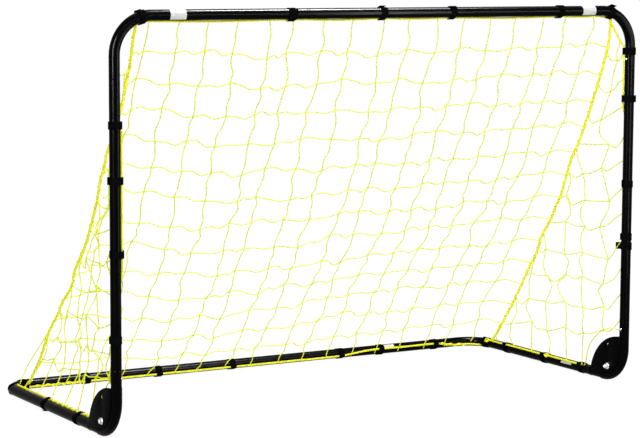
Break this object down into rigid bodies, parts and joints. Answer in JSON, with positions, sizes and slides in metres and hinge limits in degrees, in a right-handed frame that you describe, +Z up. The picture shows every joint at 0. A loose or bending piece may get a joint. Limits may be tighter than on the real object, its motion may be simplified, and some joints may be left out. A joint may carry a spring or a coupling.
{
  "type": "folding soccer goal",
  "caption": "Free-standing folding goal: tubular front frame, U-shaped base hinged at both feet, rope net on the back and sides, hook-and-loop straps, snap-button tube joints.",
  "frame": {"origin": "on the ground under the middle of the goal's bounding box", "axes": "+X along the crossbar, to the right seen from the front; +Y from the goal mouth to the rear bar; +Z up"},
  "size_m": [1.8496, 0.874, 1.2228],
  "materials": {
    "frame_paint": "gloss black powder coat",
    "hinge_paint": "satin black powder coat",
    "zinc": "bright zinc plate",
    "button_steel": "bright zinc plate",
    "net_cord": "bright yellow twisted polyethylene cord",
    "strap_webbing": "matte black hook-and-loop webbing",
    "label_film": "matte white film, bare"
  },
  "bodies": {
    "front_frame": {"crossbar": "frame_paint", "top_corner_left": "frame_paint", "top_corner_right": "frame_paint", "upright_left": "frame_paint", "upright_right": "frame_paint", "foot_elbow_left": "frame_paint", "foot_elbow_right": "frame_paint", "hinge_plate_left_outer": "hinge_paint", "hinge_plate_left_inner": "hinge_paint", "hinge_plate_right_outer": "hinge_paint", "hinge_plate_right_inner": "hinge_paint", "pivot_bolt_left": "zinc", "pivot_bolt_right": "zinc", "pivot_nut_left": "zinc", "pivot_nut_right": "zinc", "pivot_washer_left_outer": "zinc", "pivot_washer_left_inner": "zinc", "pivot_washer_right_outer": "zinc", "pivot_washer_right_inner": "zinc", "back_net": "net_cord", "side_net_left": "net_cord", "side_net_right": "net_cord", "strap_crossbar_1": "strap_webbing", "strap_crossbar_2": "strap_webbing", "strap_crossbar_3": "strap_webbing", "strap_crossbar_4": "strap_webbing", "strap_crossbar_5": "strap_webbing", "strap_crossbar_6": "strap_webbing", "strap_upright_left_1": "strap_webbing", "strap_upright_left_2": "strap_webbing", "strap_upright_left_3": "strap_webbing", "strap_upright_left_4": "strap_webbing", "strap_upright_right_1": "strap_webbing", "strap_upright_right_2": "strap_webbing", "strap_upright_right_3": "strap_webbing", "strap_upright_right_4": "strap_webbing"},
    "base_frame": {"side_rail_left": "frame_paint", "side_rail_right": "frame_paint", "rear_bar": "frame_paint", "hinge_lug_left": "hinge_paint", "hinge_lug_right": "hinge_paint", "strap_rail_left_1": "strap_webbing", "strap_rail_left_2": "strap_webbing", "strap_rail_right_1": "strap_webbing", "strap_rail_right_2": "strap_webbing", "strap_rail_right_3": "strap_webbing", "strap_rear_1": "strap_webbing", "strap_rear_2": "strap_webbing", "strap_rear_3": "strap_webbing", "strap_rear_4": "strap_webbing", "strap_rear_5": "strap_webbing", "strap_rear_6": "strap_webbing"},
    "snap_button_crossbar_left": {"snap_button_crossbar_left": "button_steel"},
    "snap_button_crossbar_right": {"snap_button_crossbar_right": "button_steel"},
    "snap_button_corner_left": {"snap_button_corner_left": "button_steel"},
    "snap_button_corner_right": {"snap_button_corner_right": "button_steel"},
    "snap_button_foot_left": {"snap_button_foot_left": "button_steel"},
    "snap_button_foot_right": {"snap_button_foot_right": "button_steel"},
    "snap_button_rear_left": {"snap_button_rear_left": "button_steel"},
    "snap_button_rear_right": {"snap_button_rear_right": "button_steel"}
  },
  "joints": [
    {"name": "base_fold", "type": "hinge", "parent": "front_frame", "child": "base_frame", "pos_m": [0, -0.3581, 0.051], "axis": [1, 0, 0], "range_deg": [0, 90], "deforming": ["back_net", "side_net_left", "side_net_right"]},
    {"name": "crossbar_button_left", "type": "slide", "parent": "front_frame", "child": "snap_button_crossbar_left", "axis": [0, -1, 0], "range_m": [0, 0.0041], "stiffness_N_per_m": 600, "springref_m": -0.005},
    {"name": "crossbar_button_right", "type": "slide", "parent": "front_frame", "child": "snap_button_crossbar_right", "axis": [0, -1, 0], "range_m": [0, 0.0041], "stiffness_N_per_m": 600, "springref_m": -0.005},
    {"name": "corner_button_left", "type": "slide", "parent": "front_frame", "child": "snap_button_corner_left", "axis": [-1, 0, 0], "range_m": [0, 0.0041], "stiffness_N_per_m": 600, "springref_m": -0.005},
    {"name": "corner_button_right", "type": "slide", "parent": "front_frame", "child": "snap_button_corner_right", "axis": [1, 0, 0], "range_m": [0, 0.0041], "stiffness_N_per_m": 600, "springref_m": -0.005},
    {"name": "foot_button_left", "type": "slide", "parent": "front_frame", "child": "snap_button_foot_left", "axis": [-1, 0, 0], "range_m": [0, 0.0041], "stiffness_N_per_m": 600, "springref_m": -0.005},
    {"name": "foot_button_right", "type": "slide", "parent": "front_frame", "child": "snap_button_foot_right", "axis": [1, 0, 0], "range_m": [0, 0.0041], "stiffness_N_per_m": 600, "springref_m": -0.005},
    {"name": "rear_button_left", "type": "slide", "parent": "base_frame", "child": "snap_button_rear_left", "axis": [0, -1, 0], "range_m": [0, 0.0041], "stiffness_N_per_m": 600, "springref_m": -0.005},
    {"name": "rear_button_right", "type": "slide", "parent": "base_frame", "child": "snap_button_rear_right", "axis": [0, -1, 0], "range_m": [0, 0.0041], "stiffness_N_per_m": 600, "springref_m": -0.005}
  ]
}
